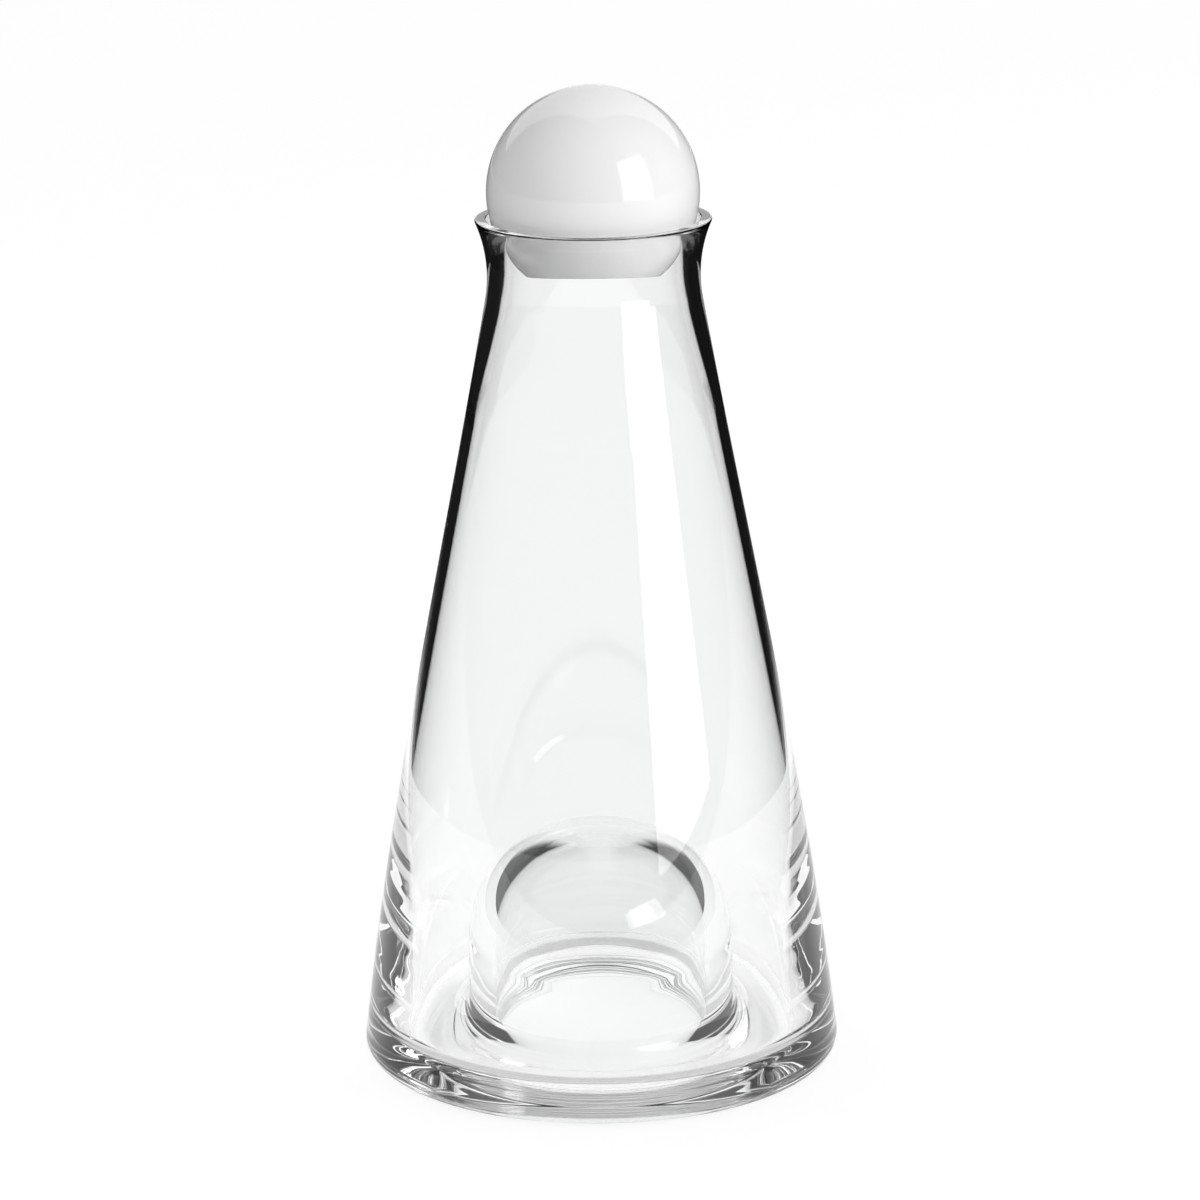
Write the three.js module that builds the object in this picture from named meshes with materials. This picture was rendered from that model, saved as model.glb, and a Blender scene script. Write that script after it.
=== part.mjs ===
// Clear blown glass carafe with a ball-shaped dome in its base, closed by a hollow opal glass ball.
// The ball rests in the flared mouth by its own weight and lifts straight out.
// Millimetres, +Z up. The origin is the middle of the ring that the carafe stands on.
import * as THREE from "three";

// Carafe, outside
const CARAFE_HEIGHT = 223.7;
const BASE_DIAMETER = 125;
const HEEL_ROUND = 5.4;
const FOOT_LEAN_DEG = 6.7; // how far the wall leans inwards just above the heel
const CONE_LEAN_DEG = 10.1; // how far it leans inwards below the neck
const NECK_DIAMETER = 54.7;
const NECK_CURVE = 35.7; // radius of the hollow curve from the cone to the flare
const MOUTH_DEPTH = 14.8; // from the top of the lip down to the narrowest part of the neck
const LIP_THICKNESS = 2.9; // across its flat top
const LIP_ROUND = 0.5; // softened edges of the lip

// Carafe, glass
const WALL = 2.6;
const NECK_WALL = 4.25;
const NECK_SWELL = 60; // the wall thickens over this height below the neck
const FOOT_WALL = 10;
const FOOT_SWELL = 80; // the wall thins over this height above the table
const FLOOR_THICKNESS = 8;
const FLOOR_CORNER = 5;

// Dome in the base
const DOME_DIAMETER = 72;
const DOME_HEIGHT = 62.4; // from the table to its top
const DOME_WALL = 7.2;
const DOME_ROOT = 8; // fillet between the dome and the floor
const DOME_MOUTH_ROUND = 6; // rounded edge of the hollow underneath

// Ball stopper
const BALL_OVERLAP = 4.15; // how much wider than the throat the ball's radius is
const BALL_WALL = 2.8;
const BALL_CUT = 21.2; // from the ball's centre down to the flat cut
const BALL_CUT_ROUND = 0.4; // softened edges of the cut
const BALL_TIP_DEG = 9; // the ball sits tipped, with its cut a little towards the front
const SEAT_CLEARANCE = 0.3;

const SIDES = 60; // facets round the axis

const footLean = THREE.MathUtils.degToRad(FOOT_LEAN_DEG);
const coneLean = THREE.MathUtils.degToRad(CONE_LEAN_DEG);
const point = (x, y) => new THREE.Vector2(x, y);

// Points on an arc, both ends included. Angles are in radians from +X, and x is the radius from the axis.
function arc(centre, radius, from, to, steps) {
  return Array.from({ length: steps + 1 }, (_, i) => {
    const angle = THREE.MathUtils.lerp(from, to, i / steps);
    return point(centre.x + radius * Math.cos(angle), centre.y + radius * Math.sin(angle));
  });
}

// Points on the round that replaces a corner between two straight runs, tangent to both.
function round(before, corner, after, radius, steps) {
  const back = before.clone().sub(corner).normalize();
  const ahead = after.clone().sub(corner).normalize();
  const half = Math.acos(back.dot(ahead)) / 2;
  const middle = back.clone().add(ahead).normalize();
  const centre = corner.clone().addScaledVector(middle, radius / Math.sin(half));
  const start = corner.clone().addScaledVector(back, radius / Math.tan(half)).sub(centre);
  const turn = Math.sign(back.cross(start)) * (Math.PI - 2 * half);
  return arc(centre, radius, start.angle(), start.angle() + turn, steps);
}

// A solid of revolution about +Z from a profile of radius and height.
function turned(name, profile, material) {
  const geometry = new THREE.LatheGeometry(profile, SIDES).rotateX(Math.PI / 2);
  const mesh = new THREE.Mesh(geometry, material);
  mesh.name = name;
  return mesh;
}

// The neck: a hollow curve outside, a fuller one inside, and a flat lip with softened edges.
const baseRadius = BASE_DIAMETER / 2;
const neckRadius = NECK_DIAMETER / 2;
const neckHeight = CARAFE_HEIGHT - MOUTH_DEPTH;
const throatRadius = neckRadius - NECK_WALL;
const neckCentre = point(neckRadius + NECK_CURVE, neckHeight);
const rimRadius = neckCentre.x - Math.sqrt(NECK_CURVE ** 2 - MOUTH_DEPTH ** 2);
const rimInset = rimRadius - LIP_THICKNESS - throatRadius;
const throatCurve = (rimInset ** 2 + MOUTH_DEPTH ** 2) / (2 * rimInset);
const throatCentre = point(throatRadius + throatCurve, neckHeight);
const lipEdge = 2 * LIP_ROUND; // the flare runs straight over this height below the lip's top
const flareOutside = Math.asin((MOUTH_DEPTH - lipEdge) / NECK_CURVE);
const flareInside = Math.asin((MOUTH_DEPTH - lipEdge) / throatCurve);

// The outer wall runs in one curve from the heel to the neck.
const heelCentre = point(baseRadius - HEEL_ROUND, HEEL_ROUND);
const heel = arc(heelCentre, HEEL_ROUND, -Math.PI / 2, footLean, 5);
const neck = arc(neckCentre, NECK_CURVE, Math.PI + coneLean, Math.PI - flareOutside, 6);
const wallFoot = heel.at(-1);
const wallTop = neck[0];
const wallReach = wallTop.distanceTo(wallFoot) / 3;
const outerWall = new THREE.CubicBezierCurve(
  wallFoot,
  point(wallFoot.x - wallReach * Math.sin(footLean), wallFoot.y + wallReach * Math.cos(footLean)),
  point(wallTop.x + wallReach * Math.sin(coneLean), wallTop.y - wallReach * Math.cos(coneLean)),
  wallTop,
);

// The inner wall follows it through the glass, which swells towards the neck and the foot.
const throat = arc(throatCentre, throatCurve, Math.PI - flareInside, Math.PI + coneLean, 7);
const throatFoot = throat.at(-1);
const outerRim = point(neck.at(-1).x + lipEdge * Math.tan(flareOutside), CARAFE_HEIGHT);
const innerRim = point(throat[0].x + lipEdge * Math.tan(flareInside), CARAFE_HEIGHT);
const wallAtNeck =
  (wallTop.x - throatFoot.x) * Math.cos(coneLean) - (throatFoot.y - wallTop.y) * Math.sin(coneLean);

function glassAt(height) {
  const towardsNeck = THREE.MathUtils.smoothstep(height, wallTop.y - NECK_SWELL, wallTop.y);
  const towardsFoot = 1 - THREE.MathUtils.smoothstep(height, 0, FOOT_SWELL);
  return WALL + (wallAtNeck - WALL) * towardsNeck + (FOOT_WALL - WALL) * towardsFoot;
}

function innerWallPoint(share) {
  const outside = outerWall.getPoint(share);
  const along = outerWall.getTangent(share);
  return point(-along.y, along.x).multiplyScalar(glassAt(outside.y)).add(outside);
}

const WALL_STEPS = 10;
const innerWall = Array.from({ length: WALL_STEPS + 1 }, (_, i) => innerWallPoint(1 - i / WALL_STEPS));

// The floor meets the wall and the dome in fillets, and the dome stands on a short straight skirt.
const domeRadius = DOME_DIAMETER / 2;
const domeCentre = point(0, DOME_HEIGHT - domeRadius);
const hollowRadius = domeRadius - DOME_WALL;
const cornerTop = FLOOR_THICKNESS + 1.5 * FLOOR_CORNER; // the wall is straight from here down to the fillet
const wallAbove = innerWall.filter((p) => p.y > cornerTop);
const lean = innerWallPoint(0).sub(wallAbove.at(-1));
const drop = FLOOR_THICKNESS - wallAbove.at(-1).y;
const floorCorner = point(wallAbove.at(-1).x + (drop * lean.x) / lean.y, FLOOR_THICKNESS);
const domeFoot = point(domeRadius, FLOOR_THICKNESS);
const mouthFoot = point(hollowRadius, 0);

const clearGlass = new THREE.MeshStandardMaterial({
  color: 0xf3f7f7,
  roughness: 0.03,
  metalness: 0,
  transparent: true,
  opacity: 0.35,
});
const carafe = turned(
  "carafe_body",
  [
    ...arc(domeCentre, hollowRadius, Math.PI / 2, 0, 9),
    ...round(domeCentre.clone().setX(hollowRadius), mouthFoot, heel[0], DOME_MOUTH_ROUND, 3),
    ...heel,
    ...outerWall.getPoints(WALL_STEPS).slice(1, -1),
    ...neck,
    ...round(neck.at(-1), outerRim, innerRim, LIP_ROUND, 3),
    ...round(outerRim, innerRim, throat[0], LIP_ROUND, 3),
    ...throat,
    ...wallAbove,
    ...round(wallAbove.at(-1), floorCorner, domeFoot, FLOOR_CORNER, 4),
    ...round(floorCorner, domeFoot, point(domeRadius, domeCentre.y), DOME_ROOT, 4),
    ...arc(domeCentre, domeRadius, 0, Math.PI / 2, 9),
  ],
  clearGlass,
);

// The ball comes down until it lies the clearance away from the throat's curve.
const ballRadius = throatRadius + BALL_OVERLAP;
const seatReach = ballRadius + SEAT_CLEARANCE + throatCurve;
const ballHeight = neckHeight + Math.sqrt(seatReach ** 2 - throatCentre.x ** 2);
const insideRadius = ballRadius - BALL_WALL;
const middle = point(0, 0);

// Where a sphere about the ball's centre meets the cut, and where it starts to turn into the softened edge.
function cutCorner(radius, edgeAngle) {
  const below = Math.asin(BALL_CUT / radius);
  const start = below - BALL_CUT_ROUND / Math.tan(edgeAngle(below) / 2) / radius;
  return {
    corner: point(radius * Math.cos(below), -BALL_CUT),
    start: point(radius * Math.cos(start), -radius * Math.sin(start)),
    angle: -start,
  };
}
const cutInside = cutCorner(insideRadius, (below) => Math.PI / 2 - below);
const cutOutside = cutCorner(ballRadius, (below) => Math.PI / 2 + below);

const opalGlass = new THREE.MeshStandardMaterial({ color: 0xf1f1ee, roughness: 0.08, metalness: 0 });
const ball = turned(
  "ball_stopper",
  [
    ...arc(middle, insideRadius, Math.PI / 2, cutInside.angle, 11).slice(0, -1),
    ...round(cutInside.start, cutInside.corner, cutOutside.corner, BALL_CUT_ROUND, 3),
    ...round(cutInside.corner, cutOutside.corner, cutOutside.start, BALL_CUT_ROUND, 2),
    ...arc(middle, ballRadius, cutOutside.angle, Math.PI / 2, 14).slice(1),
  ],
  opalGlass,
);
const seat = new THREE.Group();
seat.position.z = ballHeight;
seat.rotation.x = -THREE.MathUtils.degToRad(BALL_TIP_DEG);
seat.add(ball);

const part = new THREE.Group();
part.add(carafe, seat);
export default part;
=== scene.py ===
from math import acos, asin, atan2, cos, pi, radians, sin, sqrt, tan

import bpy
from mathutils import Matrix, Vector


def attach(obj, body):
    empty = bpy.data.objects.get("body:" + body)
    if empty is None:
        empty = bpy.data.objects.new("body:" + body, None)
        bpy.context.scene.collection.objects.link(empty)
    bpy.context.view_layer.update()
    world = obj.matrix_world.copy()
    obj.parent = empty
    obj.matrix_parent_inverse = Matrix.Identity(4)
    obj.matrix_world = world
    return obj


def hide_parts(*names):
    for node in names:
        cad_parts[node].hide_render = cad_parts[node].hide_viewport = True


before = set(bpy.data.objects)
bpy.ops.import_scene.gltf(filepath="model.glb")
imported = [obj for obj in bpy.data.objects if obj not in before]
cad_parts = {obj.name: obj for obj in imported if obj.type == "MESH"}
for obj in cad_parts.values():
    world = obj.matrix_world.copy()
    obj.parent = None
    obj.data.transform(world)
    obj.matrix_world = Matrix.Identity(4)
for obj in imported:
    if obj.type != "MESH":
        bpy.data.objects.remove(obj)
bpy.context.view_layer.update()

# Sizes of the carafe, in metres
CARAFE_HEIGHT = 0.2237
BASE_RADIUS = 0.0625
HEEL_ROUND = 0.0054
FOOT_LEAN = radians(6.7)
CONE_LEAN = radians(10.1)
NECK_RADIUS = 0.02735
NECK_CURVE = 0.0357
MOUTH_DEPTH = 0.0148
LIP_THICKNESS = 0.0029
LIP_ROUND = 0.0005
WALL = 0.0026
NECK_WALL = 0.00425
NECK_SWELL = 0.030  # shorter than in the solid, as the dark edges below the neck in the photo show
FOOT_WALL = 0.010
FOOT_SWELL = 0.080
FLOOR_THICKNESS = 0.008
FLOOR_CORNER = 0.005
DOME_RADIUS = 0.036
DOME_HEIGHT = 0.0624
DOME_WALL = 0.0072
DOME_ROOT = 0.008
DOME_MOUTH_ROUND = 0.006

# Rings that the mould leaves in the lower wall
RING_SPACING = 0.0078
RING_DEPTH = 0.000008
RING_BOTTOM = 0.016
RING_FULL = 0.028  # at full depth from here up
RING_FADE = 0.05  # and fading from here up
RING_TOP = 0.085
RING_DRIFT = 2  # unevenness of the spacing
RING_DRIFT_RATE = 160

# Sizes of the ball stopper
BALL_OVERLAP = 0.00415
BALL_WALL = 0.0028
BALL_CUT = 0.0212
BALL_CUT_ROUND = 0.0004
BALL_TIP = radians(-9)
SEAT_CLEARANCE = 0.0003

# Steps along the curves of the sections, and round the axis
HEEL_STEPS = 12
NECK_STEPS = 24
OUTER_WALL_STEPS = 72
INNER_WALL_STEPS = 120
LIP_STEPS = 8
MOUTH_STEPS = 8
FILLET_STEPS = 10
HOLLOW_STEPS = 40
DOME_STEPS = 44
BALL_INSIDE_STEPS = 48
BALL_OUTSIDE_STEPS = 64
CUT_INSIDE_STEPS = 6
CUT_OUTSIDE_STEPS = 5
CARAFE_SIDES = 240
BALL_SIDES = 160
STAGE_SIDES = 48
WELD_DISTANCE = 0.000002

# Unevenness of blown glass
WAVE_STRETCH = (1, 1, 0.35)  # drawn out along the axis
WAVE_DETAIL = 1.5
CLOUD_SCALE = 22
CLOUD_DETAIL = 4
GLASS_IOR = 1.5

# Stage, in metres: a white table, and how bright table and surround are for lighting and for being seen
TABLE_RADIUS = 6
TABLE_SIDES = 96
TABLE_DROP = 0.0003
TABLE_GREY = 0.4
TABLE_PLAIN_GLOW = 0.35
TABLE_SEEN_GLOW = 0.71
SURROUND_PLAIN_GLOW = 0.62
SURROUND_SEEN_GLOW = 1.0
# Painted shade under the foot: the table's glow drops by this share there, fading out between the inner
# and outer radius
FOOT_SHADE = 0.4  # how much less the table glows under the foot
FOOT_SHADE_INNER = 0.058
FOOT_SHADE_OUTER = 0.075

# Dark paper: where its gaps begin and end, in degrees from straight behind the object
PAPER_BLACK = 0.01
DOME_GAP = (15, 26)
EDGE_GAP = (4, 12)
CARD_FRONT = (55, 110)

# Dark paper: sizes in metres, and the half width of the ceiling in degrees
CARD_RADIUS = 0.42
CARD_HEIGHT = 0.215
FLAG_INNER = 0.037
FLAG_OUTER = 0.125
FLAG_HEIGHT = 0.17
LOW_ROOM_RADIUS = 5.5
LOW_ROOM_TOP = 1.55
ROOM_RADIUS = 5.6
ROOM_TOP = 6.7
ROOF_HOLE = 0.3
ROOF_TOP = 8
CEILING_BOTTOM = 1.5
CEILING_HALF = 50

# Camera of the photograph
CAMERA_PLACE = (0, -1.2618, 0.4571)
CAMERA_TILT = radians(75.16)
CAMERA_ROLL = radians(-0.575)
CAMERA_YAW = radians(-0.034)
CAMERA_LENS = 150.67
CAMERA_SENSOR = 36

# Bounces that light gets through the glass
ALL_BOUNCES = 32
MIRROR_BOUNCES = 16


def point(radius, height):
    return Vector((radius, height))


def arc(centre, radius, start, end, steps):
    """Points on an arc, both ends included."""
    turns = [start + (end - start) * i / steps for i in range(steps + 1)]
    return [centre + radius * point(cos(a), sin(a)) for a in turns]


def corner_round(before, corner, after, radius, steps):
    """Points on the round that takes the place of a corner."""
    back = (before - corner).normalized()
    ahead = (after - corner).normalized()
    half = acos(back.dot(ahead)) / 2
    centre = corner + (back + ahead).normalized() * radius / sin(half)
    start = corner + back * radius / tan(half) - centre
    angle = atan2(start.y, start.x)
    side = 1 if back.x * start.y - back.y * start.x > 0 else -1
    return arc(centre, radius, angle, angle + side * (pi - 2 * half), steps)


def ease(value, low, high):
    share = min(max((value - low) / (high - low), 0), 1)
    return share * share * (3 - 2 * share)


def carafe_section():
    """Half the section of the carafe, with the centre and the radius of the throat's curve.

    It runs from the top of the hollow under the dome round to the top of the dome."""
    neck_height = CARAFE_HEIGHT - MOUTH_DEPTH
    throat_radius = NECK_RADIUS - NECK_WALL
    neck_centre = point(NECK_RADIUS + NECK_CURVE, neck_height)
    rim_radius = neck_centre.x - sqrt(NECK_CURVE ** 2 - MOUTH_DEPTH ** 2)
    rim_inset = rim_radius - LIP_THICKNESS - throat_radius
    throat_curve = (rim_inset ** 2 + MOUTH_DEPTH ** 2) / (2 * rim_inset)
    throat_centre = point(throat_radius + throat_curve, neck_height)
    flare_outside = asin((MOUTH_DEPTH - 2 * LIP_ROUND) / NECK_CURVE)
    flare_inside = asin((MOUTH_DEPTH - 2 * LIP_ROUND) / throat_curve)

    heel_centre = point(BASE_RADIUS - HEEL_ROUND, HEEL_ROUND)
    heel = arc(heel_centre, HEEL_ROUND, -pi / 2, FOOT_LEAN, HEEL_STEPS)
    neck = arc(neck_centre, NECK_CURVE, pi + CONE_LEAN, pi - flare_outside, NECK_STEPS)
    throat = arc(throat_centre, throat_curve, pi - flare_inside, pi + CONE_LEAN, NECK_STEPS)
    outer_rim = neck[-1] + 2 * LIP_ROUND * point(tan(flare_outside), 1)
    inner_rim = throat[0] + 2 * LIP_ROUND * point(tan(flare_inside), 1)

    foot = heel[-1]
    top = neck[0]
    reach = (top - foot).length / 3
    foot_pull = foot + reach * point(-sin(FOOT_LEAN), cos(FOOT_LEAN))
    top_pull = top + reach * point(sin(CONE_LEAN), -cos(CONE_LEAN))
    gap = top - throat[-1]
    wall_at_neck = gap.x * cos(CONE_LEAN) + gap.y * sin(CONE_LEAN)

    def outside(t):
        u = 1 - t
        return u ** 3 * foot + 3 * u * u * t * foot_pull + 3 * u * t * t * top_pull + t ** 3 * top

    def rings(height):
        zone = ease(height, RING_BOTTOM, RING_FULL) * (1 - ease(height, RING_FADE, RING_TOP))
        drift = RING_DRIFT * sin(height * RING_DRIFT_RATE)
        return RING_DEPTH * zone * sin(2 * pi * height / RING_SPACING + drift)

    def inside(t):
        here = outside(t)
        along = (outside(t + 0.001) - outside(t - 0.001)).normalized()
        towards_neck = ease(here.y, top.y - NECK_SWELL, top.y)
        towards_foot = 1 - ease(here.y, 0, FOOT_SWELL)
        glass = WALL + (wall_at_neck - WALL) * towards_neck + (FOOT_WALL - WALL) * towards_foot
        return here + point(-along.y, along.x) * (glass + rings(here.y))

    outer_wall = [outside(i / OUTER_WALL_STEPS) for i in range(1, OUTER_WALL_STEPS)]
    inner_wall = [inside(1 - i / INNER_WALL_STEPS) for i in range(INNER_WALL_STEPS + 1)]
    corner_top = FLOOR_THICKNESS + 1.5 * FLOOR_CORNER
    inner_wall = [p for p in inner_wall if p.y > corner_top]
    lean = inside(0) - inner_wall[-1]
    drop = FLOOR_THICKNESS - inner_wall[-1].y
    floor_corner = point(inner_wall[-1].x + drop * lean.x / lean.y, FLOOR_THICKNESS)
    dome_foot = point(DOME_RADIUS, FLOOR_THICKNESS)
    dome_centre = point(0, DOME_HEIGHT - DOME_RADIUS)
    hollow_radius = DOME_RADIUS - DOME_WALL
    mouth_foot = point(hollow_radius, 0)
    above_mouth = point(hollow_radius, dome_centre.y)
    above_foot = point(DOME_RADIUS, dome_centre.y)
    section = [
        *arc(dome_centre, hollow_radius, pi / 2, 0, HOLLOW_STEPS),
        *corner_round(above_mouth, mouth_foot, heel[0], DOME_MOUTH_ROUND, MOUTH_STEPS),
        *heel,
        *outer_wall,
        *neck,
        *corner_round(neck[-1], outer_rim, inner_rim, LIP_ROUND, LIP_STEPS),
        *corner_round(outer_rim, inner_rim, throat[0], LIP_ROUND, LIP_STEPS),
        *throat,
        *inner_wall,
        *corner_round(inner_wall[-1], floor_corner, dome_foot, FLOOR_CORNER, FILLET_STEPS),
        *corner_round(floor_corner, dome_foot, above_foot, DOME_ROOT, FILLET_STEPS),
        *arc(dome_centre, DOME_RADIUS, 0, pi / 2, DOME_STEPS),
    ]
    return section, throat_centre, throat_curve


def ball_section(radius):
    """Half the section of the hollow ball about its own centre, cut flat underneath."""
    inside = radius - BALL_WALL
    middle = point(0, 0)

    def edge(size, open_angle):
        below = asin(BALL_CUT / size)
        start = below - BALL_CUT_ROUND / tan(open_angle(below) / 2) / size
        return point(size * cos(below), -BALL_CUT), point(size * cos(start), -size * sin(start)), -start

    inner_edge, inner_start, inner_angle = edge(inside, lambda below: pi / 2 - below)
    outer_edge, outer_start, outer_angle = edge(radius, lambda below: pi / 2 + below)
    return [
        *arc(middle, inside, pi / 2, inner_angle, BALL_INSIDE_STEPS)[:-1],
        *corner_round(inner_start, inner_edge, outer_edge, BALL_CUT_ROUND, CUT_INSIDE_STEPS),
        *corner_round(inner_edge, outer_edge, outer_start, BALL_CUT_ROUND, CUT_OUTSIDE_STEPS),
        *arc(middle, radius, outer_angle, pi / 2, BALL_OUTSIDE_STEPS)[1:],
    ]


def turned(name, section, steps, sweep=2 * pi):
    """Draws half a section as a line and spins it round the axis."""
    bpy.ops.object.select_all(action="DESELECT")
    bpy.ops.curve.primitive_bezier_curve_add()
    piece = bpy.context.object
    piece.name = name
    piece.data.splines.clear()
    line = piece.data.splines.new("POLY")
    line.points.add(len(section) - 1)
    for spot, drawn in zip(line.points, section):
        spot.co = (drawn.x, 0, drawn.y, 1)
    bpy.ops.object.convert(target="MESH")
    bpy.ops.object.mode_set(mode="EDIT")
    bpy.ops.mesh.select_all(action="SELECT")
    bpy.ops.mesh.spin(steps=steps, angle=-sweep, center=(0, 0, 0), axis=(0, 0, 1))
    bpy.ops.mesh.select_all(action="SELECT")
    bpy.ops.mesh.remove_doubles(threshold=WELD_DISTANCE)
    bpy.ops.mesh.normals_make_consistent(inside=False)
    bpy.ops.object.mode_set(mode="OBJECT")
    bpy.ops.object.shade_smooth()
    return piece


def hand_blown_surface():
    """Node group: the slight unevenness of hand-blown glass, as a cloud, a polish and a height."""
    group = bpy.data.node_groups.new("hand_blown_surface", "ShaderNodeTree")
    sockets = group.interface
    for name in ("Wave Size", "Roughness Low", "Roughness High"):
        sockets.new_socket(name, in_out="INPUT", socket_type="NodeSocketFloat")
    for name in ("Cloud", "Roughness", "Height"):
        sockets.new_socket(name, in_out="OUTPUT", socket_type="NodeSocketFloat")
    nodes, links = group.nodes, group.links
    given = nodes.new("NodeGroupInput")
    result = nodes.new("NodeGroupOutput")
    place = nodes.new("ShaderNodeTexCoord")
    drawn = nodes.new("ShaderNodeMapping")
    drawn.inputs["Scale"].default_value = WAVE_STRETCH
    waves = nodes.new("ShaderNodeTexNoise")
    waves.inputs["Detail"].default_value = WAVE_DETAIL
    cloud = nodes.new("ShaderNodeTexNoise")
    cloud.inputs["Scale"].default_value = CLOUD_SCALE
    cloud.inputs["Detail"].default_value = CLOUD_DETAIL
    polish = nodes.new("ShaderNodeMapRange")
    links.new(place.outputs["Object"], drawn.inputs["Vector"])
    links.new(drawn.outputs["Vector"], waves.inputs["Vector"])
    links.new(place.outputs["Object"], cloud.inputs["Vector"])
    links.new(given.outputs["Wave Size"], waves.inputs["Scale"])
    links.new(cloud.outputs["Fac"], polish.inputs["Value"])
    links.new(given.outputs["Roughness Low"], polish.inputs["To Min"])
    links.new(given.outputs["Roughness High"], polish.inputs["To Max"])
    links.new(cloud.outputs["Fac"], result.inputs["Cloud"])
    links.new(polish.outputs["Result"], result.inputs["Roughness"])
    links.new(waves.outputs["Fac"], result.inputs["Height"])
    return group


def new_material(name):
    """An empty Principled material, its node tree and its shader."""
    material = bpy.data.materials.new(name)
    material.use_nodes = True
    tree = material.node_tree
    return material, tree, tree.nodes["Principled BSDF"]


def glass_finish(name, surface, wave_size, rough_low, rough_high, bump, pale, deep):
    """A Principled material whose colour, roughness and bump follow the hand-blown surface."""
    material, tree, shader = new_material(name)
    nodes, links = tree.nodes, tree.links
    blown = nodes.new("ShaderNodeGroup")
    blown.node_tree = surface
    blown.inputs["Wave Size"].default_value = wave_size
    blown.inputs["Roughness Low"].default_value = rough_low
    blown.inputs["Roughness High"].default_value = rough_high
    tint = nodes.new("ShaderNodeMix")
    tint.data_type = "RGBA"
    tint.inputs["A"].default_value = (*pale, 1)
    tint.inputs["B"].default_value = (*deep, 1)
    waves = nodes.new("ShaderNodeBump")
    waves.inputs["Strength"].default_value = 1
    waves.inputs["Distance"].default_value = bump
    shader.inputs["IOR"].default_value = GLASS_IOR
    links.new(blown.outputs["Cloud"], tint.inputs["Factor"])
    links.new(tint.outputs["Result"], shader.inputs["Base Color"])
    links.new(blown.outputs["Roughness"], shader.inputs["Roughness"])
    links.new(blown.outputs["Height"], waves.inputs["Height"])
    links.new(waves.outputs["Normal"], shader.inputs["Normal"])
    return material, shader


def mixed(tree, share, first, second):
    """Puts a mix of two shaders on the surface, the second by the given share."""
    either = tree.nodes.new("ShaderNodeMixShader")
    tree.links.new(share, either.inputs["Fac"])
    tree.links.new(first.outputs["BSDF"], either.inputs[1])
    tree.links.new(second.outputs["BSDF"], either.inputs[2])
    tree.links.new(either.outputs["Shader"], tree.nodes["Material Output"].inputs["Surface"])


def let_lamps_through(material, shader, colour):
    """Lamp light reaches what stands behind the glass, a little weakened."""
    tree = material.node_tree
    path = tree.nodes.new("ShaderNodeLightPath")
    clear = tree.nodes.new("ShaderNodeBsdfTransparent")
    clear.inputs["Color"].default_value = (*colour, 1)
    mixed(tree, path.outputs["Is Shadow Ray"], shader, clear)


blown_surface = hand_blown_surface()
clear_glass, clear_shader = glass_finish(
    "clear_blown_glass",
    blown_surface,
    wave_size=45,
    rough_low=0.0,
    rough_high=0.01,
    bump=0.000012,
    pale=(0.992, 0.994, 0.994),
    deep=(0.98, 0.985, 0.985),
)
clear_shader.inputs["Transmission Weight"].default_value = 1
let_lamps_through(clear_glass, clear_shader, (0.9, 0.9, 0.9))
opal_glass, opal_shader = glass_finish(
    "white_opal_glass",
    blown_surface,
    wave_size=60,
    rough_low=0.06,
    rough_high=0.1,
    bump=0.00002,
    pale=(0.91, 0.91, 0.905),
    deep=(0.88, 0.88, 0.875),
)
opal_shader.inputs["Subsurface Weight"].default_value = 0.35
opal_shader.inputs["Subsurface Radius"].default_value = (1.0, 0.95, 0.9)
opal_shader.inputs["Subsurface Scale"].default_value = 0.004

# The carafe
carafe_points, seat_centre, seat_curve = carafe_section()
carafe = turned("carafe_glass", carafe_points, CARAFE_SIDES)
carafe.data.materials.append(clear_glass)
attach(carafe, "carafe")
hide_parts("carafe_body")

# The ball stopper, resting in the throat and tipped a little to the front
ball_radius = NECK_RADIUS - NECK_WALL + BALL_OVERLAP
seat_reach = ball_radius + SEAT_CLEARANCE + seat_curve
ball_height = seat_centre.y + sqrt(seat_reach ** 2 - seat_centre.x ** 2)
ball = turned("opal_ball", ball_section(ball_radius), BALL_SIDES)
ball.rotation_euler = (BALL_TIP, 0, 0)
ball.location = (0, 0, ball_height)
bpy.ops.object.transform_apply(location=True, rotation=True, scale=True)
ball.data.materials.append(opal_glass)
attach(ball, "stopper")
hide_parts("ball_stopper")


def worked_out(tree, operation, *values):
    """The result of a maths node that takes numbers and the results of other nodes."""
    step = tree.nodes.new("ShaderNodeMath")
    step.operation = operation
    for socket, value in zip(step.inputs, values):
        if isinstance(value, (int, float)):
            socket.default_value = value
        else:
            tree.links.new(value, socket)
    return step.outputs["Value"]


def at_least(tree, count, number):
    return worked_out(tree, "GREATER_THAN", count, number - 0.5)


def fewer_than(tree, count, number):
    return worked_out(tree, "LESS_THAN", count, number - 0.5)


def ramp(tree, value, low, high):
    """A smooth rise from 0 at the low value to 1 at the high value."""
    step = tree.nodes.new("ShaderNodeMapRange")
    step.interpolation_type = "SMOOTHSTEP"
    step.inputs["From Min"].default_value = low
    step.inputs["From Max"].default_value = high
    tree.links.new(value, step.inputs["Value"])
    return step.outputs["Result"]


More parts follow.
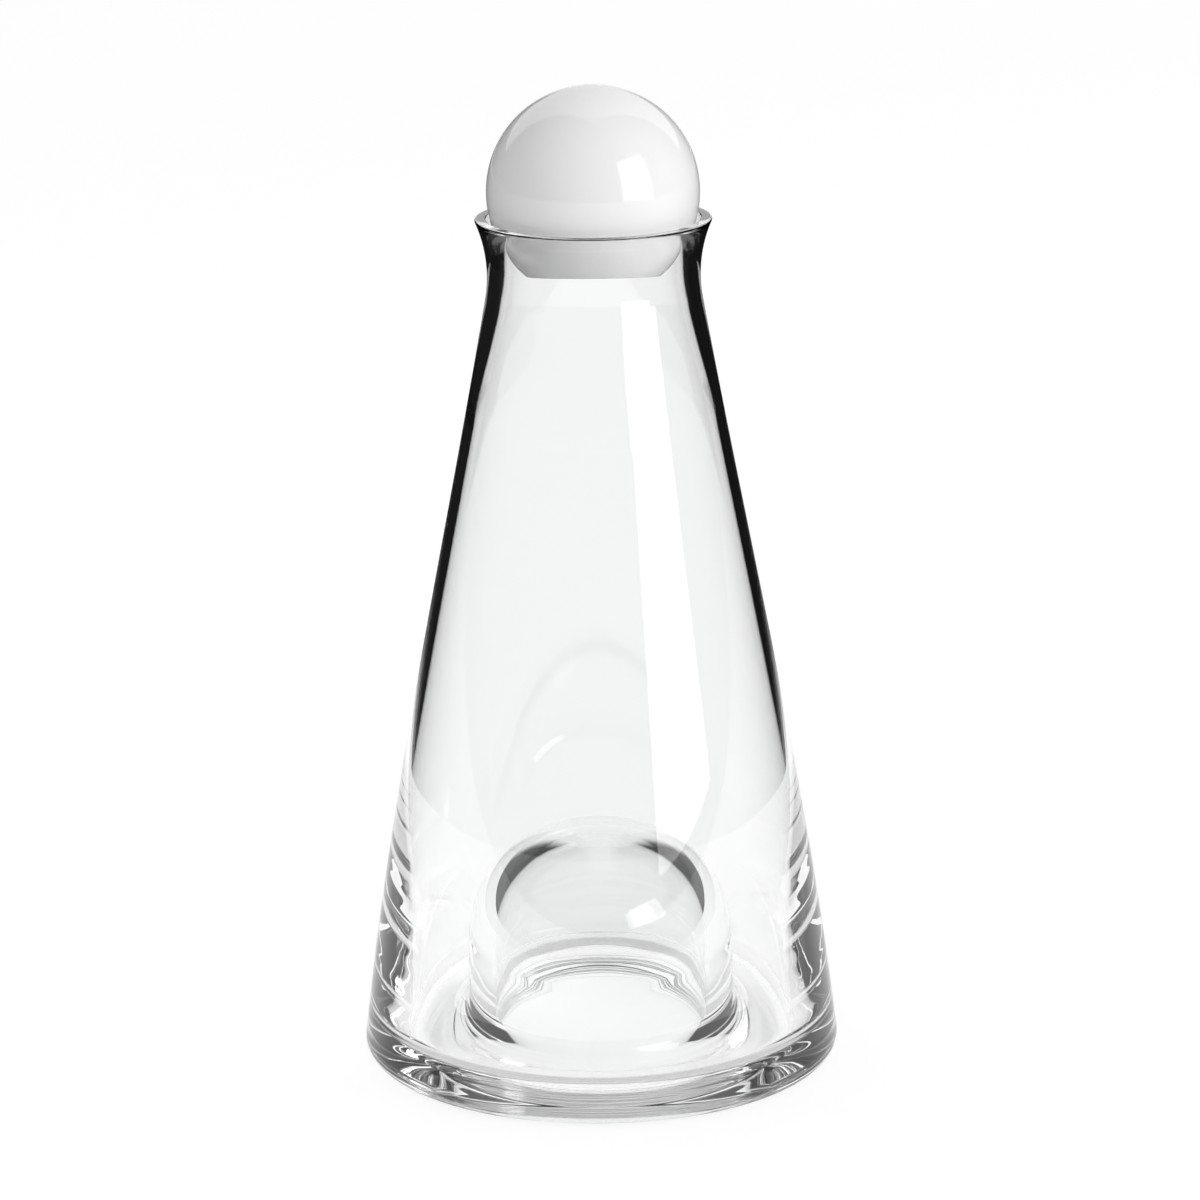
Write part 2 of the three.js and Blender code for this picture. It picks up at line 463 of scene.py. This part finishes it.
def glow(tree, plain_level, seen_level):
    """The plain level for rays that light the object, and the seen level for rays that end in the picture.

    Those are camera, mirrored and refracted rays that no matt surface has scattered."""
    path = tree.nodes.new("ShaderNodeLightPath")
    sharp = worked_out(tree, "MAXIMUM", path.outputs["Is Camera Ray"], path.outputs["Is Glossy Ray"])
    sharp = worked_out(tree, "MAXIMUM", sharp, path.outputs["Is Transmission Ray"])
    unscattered = fewer_than(tree, path.outputs["Diffuse Depth"], 1)
    level = tree.nodes.new("ShaderNodeMapRange")
    level.inputs["To Min"].default_value = plain_level
    level.inputs["To Max"].default_value = seen_level
    tree.links.new(worked_out(tree, "MULTIPLY", sharp, unscattered), level.inputs["Value"])
    return level.outputs["Result"]


def table_white():
    """Matt white that glows, with painted shade under the foot: it glows less there for rays that the
    glass has mirrored.
    """
    material, tree, shader = new_material("white_table")
    shader.inputs["Base Color"].default_value = (TABLE_GREY, TABLE_GREY, TABLE_GREY, 1)
    shader.inputs["Roughness"].default_value = 1
    shader.inputs["Specular IOR Level"].default_value = 0
    shader.inputs["Emission Color"].default_value = (1, 1, 1, 1)
    path = tree.nodes.new("ShaderNodeLightPath")
    spot = tree.nodes.new("ShaderNodeNewGeometry")
    reach = tree.nodes.new("ShaderNodeVectorMath")
    reach.operation = "LENGTH"
    tree.links.new(spot.outputs["Position"], reach.inputs[0])
    # Painted shade: less glow under the foot, for rays that the glass has mirrored
    mirrored = at_least(tree, path.outputs["Glossy Depth"], 1)
    clear_of_foot = ramp(tree, reach.outputs["Value"], FOOT_SHADE_INNER, FOOT_SHADE_OUTER)
    under_foot = worked_out(tree, "SUBTRACT", 1, clear_of_foot)
    shaded = worked_out(tree, "MULTIPLY", mirrored, worked_out(tree, "MULTIPLY", under_foot, FOOT_SHADE))
    level = glow(tree, TABLE_PLAIN_GLOW, TABLE_SEEN_GLOW)
    left = worked_out(tree, "MULTIPLY", level, worked_out(tree, "SUBTRACT", 1, shaded))
    tree.links.new(left, shader.inputs["Emission Strength"])
    return material


# Studio: a white table and a white surround
scene = bpy.context.scene
scene.view_settings.view_transform = "Standard"
scene.cycles.max_bounces = ALL_BOUNCES
scene.cycles.transmission_bounces = ALL_BOUNCES
scene.cycles.glossy_bounces = MIRROR_BOUNCES

world = bpy.data.worlds.new("white_surround")
world.use_nodes = True
scene.world = world
surround = world.node_tree.nodes["Background"]
surround.inputs["Color"].default_value = (1, 1, 1, 1)
surround_glow = glow(world.node_tree, SURROUND_PLAIN_GLOW, SURROUND_SEEN_GLOW)
world.node_tree.links.new(surround_glow, surround.inputs["Strength"])

bpy.ops.object.select_all(action="DESELECT")
bpy.ops.mesh.primitive_circle_add(
    vertices=TABLE_SIDES, radius=TABLE_RADIUS, fill_type="NGON", location=(0, 0, -TABLE_DROP))
table = bpy.context.object
table.name = "white_table"
table.data.materials.append(table_white())


def edge_black(name, is_card):
    """Black for rays that the glass has mirrored, clear for all others.

    It has a gap straight behind the object for rays mirrored once and a wider one for rays that left the
    dome, which also pass it when mirrored often. A card fades out in front for rays mirrored by the outer
    surface."""
    material, tree, black = new_material(name)
    black.inputs["Base Color"].default_value = (PAPER_BLACK, PAPER_BLACK, PAPER_BLACK, 1)
    black.inputs["Specular IOR Level"].default_value = 0
    clear = tree.nodes.new("ShaderNodeBsdfTransparent")
    path = tree.nodes.new("ShaderNodeLightPath")
    mirrors = path.outputs["Glossy Depth"]
    surfaces = path.outputs["Transmission Depth"]
    spot = tree.nodes.new("ShaderNodeNewGeometry")
    axes = tree.nodes.new("ShaderNodeSeparateXYZ")
    tree.links.new(spot.outputs["Position"], axes.inputs["Vector"])
    turn = worked_out(tree, "ARCTAN2", axes.outputs["X"], axes.outputs["Y"])
    bearing = worked_out(tree, "ABSOLUTE", turn)

    def past(limits):
        return ramp(tree, bearing, radians(limits[0]), radians(limits[1]))

    mirrored = at_least(tree, mirrors, 1)
    unscattered = fewer_than(tree, path.outputs["Diffuse Depth"], 1)
    from_dome = at_least(tree, surfaces, 4)
    once_mirrored = fewer_than(tree, mirrors, 2)
    often_mirrored = at_least(tree, mirrors, 3)
    dome_behind = worked_out(tree, "SUBTRACT", 1, past(DOME_GAP))
    edge_behind = worked_out(tree, "SUBTRACT", 1, past(EDGE_GAP))
    dome_clear = worked_out(tree, "MAXIMUM", often_mirrored, dome_behind)
    dome_gap = worked_out(tree, "MULTIPLY", from_dome, dome_clear)
    gap = worked_out(tree, "MAXIMUM", dome_gap, worked_out(tree, "MULTIPLY", once_mirrored, edge_behind))
    if is_card:
        from_outside = fewer_than(tree, surfaces, 1)
        front = worked_out(tree, "MULTIPLY", from_outside, past(CARD_FRONT))
        gap = worked_out(tree, "MAXIMUM", gap, front)
    solid = worked_out(tree, "SUBTRACT", 1, gap)
    shown = worked_out(tree, "MULTIPLY", worked_out(tree, "MULTIPLY", mirrored, unscattered), solid)
    mixed(tree, shown, clear, black)
    return material


def dark_arc(name, section, first, last, material):
    """A dark wall round the table, turned from a section, that shows only in what the glass mirrors.

    It runs between two bearings in degrees, counted from straight behind the object."""
    wall = turned(name, section, STAGE_SIDES, radians(last - first))
    wall.rotation_euler = (0, 0, pi / 2 + radians(first))
    wall.data.materials.append(material)
    wall.visible_camera = False
    wall.visible_diffuse = False
    wall.visible_shadow = False
    return wall


# Dark paper: a low card and a flag round the neck close by, and walls and a ceiling round the table
card_black = edge_black("card_black", True)
room_black = edge_black("room_black", False)
card_side = [point(CARD_RADIUS, 0), point(CARD_RADIUS, CARD_HEIGHT)]
flag_side = [point(FLAG_INNER, FLAG_HEIGHT), point(FLAG_OUTER, FLAG_HEIGHT)]
low_side = [point(LOW_ROOM_RADIUS, 0), point(LOW_ROOM_RADIUS, LOW_ROOM_TOP)]
roof = [point(ROOM_RADIUS, ROOM_TOP), point(ROOF_HOLE, ROOF_TOP)]
high_side = [point(ROOM_RADIUS, 0), *roof]
ceiling_side = [point(ROOM_RADIUS, CEILING_BOTTOM), *roof]
dark_arc("edge_card", card_side, 0, 360, card_black)
dark_arc("neck_flag", flag_side, 0, 360, card_black)
dark_arc("dark_room_low", low_side, 0, 360, room_black)
dark_arc("dark_room_high", high_side, CEILING_HALF, 360 - CEILING_HALF, room_black)
dark_ceiling = dark_arc("dark_ceiling", ceiling_side, -CEILING_HALF, CEILING_HALF, room_black)
dark_ceiling.visible_glossy = False


def soft_light(name, place, aim, width, height, power):
    bpy.ops.object.select_all(action="DESELECT")
    bpy.ops.object.light_add(type="AREA", location=place)
    light = bpy.context.object
    light.name = name
    light.data.shape = "RECTANGLE"
    light.data.size = width
    light.data.size_y = height
    light.data.energy = power
    light.rotation_euler = (Vector(aim) - Vector(place)).to_track_quat("-Z", "Y").to_euler()


soft_light("key_softbox", place=(3.06, -2.57, 1.8), aim=(0, 0, 1.8), width=2.6, height=3.4, power=104)

lens = bpy.data.cameras.new("photo_camera")
lens.sensor_width = CAMERA_SENSOR
lens.lens = CAMERA_LENS
camera = bpy.data.objects.new("photo_camera", lens)
scene.collection.objects.link(camera)
tilt = Matrix.Rotation(CAMERA_TILT, 4, "X")
roll = Matrix.Rotation(CAMERA_ROLL, 4, "Z")
yaw = Matrix.Rotation(CAMERA_YAW, 4, "Z")
camera.matrix_world = Matrix.Translation(CAMERA_PLACE) @ yaw @ tilt @ roll
scene.camera = camera
